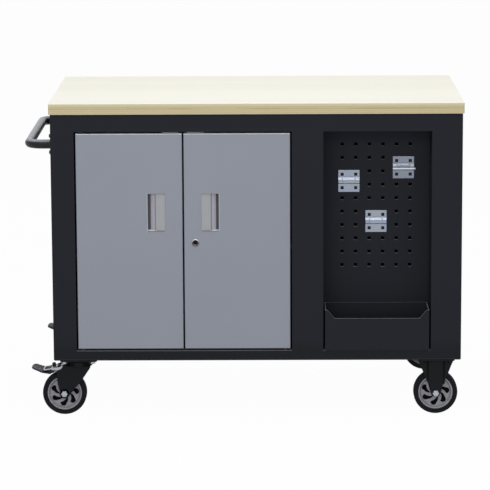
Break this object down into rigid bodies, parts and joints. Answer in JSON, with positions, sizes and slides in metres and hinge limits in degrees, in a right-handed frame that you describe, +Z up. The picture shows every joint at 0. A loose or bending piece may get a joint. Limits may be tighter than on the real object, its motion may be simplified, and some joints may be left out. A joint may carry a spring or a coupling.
{
  "type": "mobile tool cabinet",
  "caption": "Mobile steel tool cabinet with hinged doors, a pegboard niche with bin and hooks, a plywood worktop, a push handle and braked casters.",
  "frame": {"origin": "on the floor, under the middle of the overall box, which the push handle on the left side takes past the cabinet", "axes": "+Z up, the doors face -Y, +X along the cabinet from the push handle to the rigid casters"},
  "size_m": [1.2354, 0.66, 0.895],
  "materials": {
    "birch_ply": "clear-lacquered birch plywood with its plies showing at the edges",
    "body_paint": "fine-textured black powder coat",
    "door_paint": "silver-grey powder coat",
    "handle_paint": "semi-gloss black powder coat",
    "fork_paint": "black electro-coat",
    "pull_satin": "satin metal",
    "lock_chrome": "bright chrome",
    "zinc": "blue zinc plate",
    "black_screws": "black oxide",
    "rim_plastic": "grey moulded nylon",
    "tyre_rubber": "black rubber, not marking",
    "pedal_plastic": "dark grey ribbed plastic",
    "catch_plastic": "white plastic"
  },
  "bodies": {
    "cabinet": {"worktop": "birch_ply", "left_side_panel": "body_paint", "right_side_panel": "body_paint", "left_stile": "body_paint", "centre_stile": "body_paint", "right_stile": "body_paint", "top_rail": "body_paint", "bottom_rail": "body_paint", "back_panel": "body_paint", "bottom_panel": "body_paint", "centre_partition": "body_paint", "shelf": "body_paint", "shelf_clips": "zinc", "pegboard": "body_paint", "niche_left_wall": "body_paint", "niche_right_wall": "body_paint", "niche_ceiling": "body_paint", "tool_bin": "body_paint", "upper_left_hook": "zinc", "upper_right_hook": "zinc", "lower_hook": "zinc", "push_handle": "handle_paint", "side_screws": "black_screws", "worktop_screws": "zinc", "caster_bolts": "zinc", "door_catches": "catch_plastic", "hinge_pins": "zinc", "caster_kingpins": "zinc", "caster_ball_races": "zinc", "front_left_plate": "fork_paint", "rear_left_plate": "fork_paint", "front_right_bracket": "fork_paint", "rear_right_bracket": "fork_paint", "rigid_axles": "zinc"},
    "left_door": {"left_door_skin": "door_paint", "left_door_liner": "door_paint", "left_pull": "pull_satin"},
    "right_door": {"right_door_skin": "door_paint", "right_door_liner": "door_paint", "right_pull": "pull_satin", "lock_barrel": "lock_chrome", "lock_nut": "zinc"},
    "lock": {"lock_plug": "lock_chrome", "lock_cam": "zinc"},
    "front_left_swivel": {"front_left_fork": "fork_paint", "front_left_axle": "zinc"},
    "front_left_wheel": {"front_left_rim": "rim_plastic", "front_left_tyre": "tyre_rubber"},
    "front_left_brake": {"front_left_brake_lever": "zinc", "front_left_pedal_pad": "pedal_plastic"},
    "rear_left_swivel": {"rear_left_fork": "fork_paint", "rear_left_axle": "zinc"},
    "rear_left_wheel": {"rear_left_rim": "rim_plastic", "rear_left_tyre": "tyre_rubber"},
    "rear_left_brake": {"rear_left_brake_lever": "zinc", "rear_left_pedal_pad": "pedal_plastic"},
    "front_right_wheel": {"front_right_rim": "rim_plastic", "front_right_tyre": "tyre_rubber"},
    "rear_right_wheel": {"rear_right_rim": "rim_plastic", "rear_right_tyre": "tyre_rubber"}
  },
  "joints": [
    {"name": "left_door_hinge", "type": "hinge", "parent": "cabinet", "child": "left_door", "pos_m": [-0.45545, -0.3155, 0.50275], "axis": [0, 0, -1], "range_deg": [0, 115]},
    {"name": "right_door_hinge", "type": "hinge", "parent": "cabinet", "child": "right_door", "pos_m": [0.11895, -0.3155, 0.50275], "axis": [0, 0, 1], "range_deg": [0, 115]},
    {"name": "lock_turn", "type": "hinge", "parent": "right_door", "child": "lock", "pos_m": [-0.13455, -0.3235, 0.5006], "axis": [0, 1, 0], "range_deg": [0, 90]},
    {"name": "front_left_swivel_turn", "type": "hinge", "parent": "cabinet", "child": "front_left_swivel", "pos_m": [-0.46925, -0.284, 0.15], "axis": [0, 0, 1], "continuous": true},
    {"name": "front_left_wheel_spin", "type": "hinge", "parent": "front_left_swivel", "child": "front_left_wheel", "pos_m": [-0.51125, -0.284, 0.0625], "axis": [0, 1, 0], "continuous": true},
    {"name": "front_left_brake_press", "type": "hinge", "parent": "front_left_swivel", "child": "front_left_brake", "pos_m": [-0.52625, -0.284, 0.137], "axis": [0, -1, 0], "range_deg": [0, 10]},
    {"name": "rear_left_swivel_turn", "type": "hinge", "parent": "cabinet", "child": "rear_left_swivel", "pos_m": [-0.46925, 0.284, 0.15], "axis": [0, 0, 1], "continuous": true},
    {"name": "rear_left_wheel_spin", "type": "hinge", "parent": "rear_left_swivel", "child": "rear_left_wheel", "pos_m": [-0.51125, 0.284, 0.0625], "axis": [0, 1, 0], "continuous": true},
    {"name": "rear_left_brake_press", "type": "hinge", "parent": "rear_left_swivel", "child": "rear_left_brake", "pos_m": [-0.52625, 0.284, 0.137], "axis": [0, -1, 0], "range_deg": [0, 10]},
    {"name": "front_right_wheel_spin", "type": "hinge", "parent": "cabinet", "child": "front_right_wheel", "pos_m": [0.54475, -0.284, 0.0625], "axis": [0, 1, 0], "continuous": true},
    {"name": "rear_right_wheel_spin", "type": "hinge", "parent": "cabinet", "child": "rear_right_wheel", "pos_m": [0.54475, 0.284, 0.0625], "axis": [0, 1, 0], "continuous": true}
  ]
}
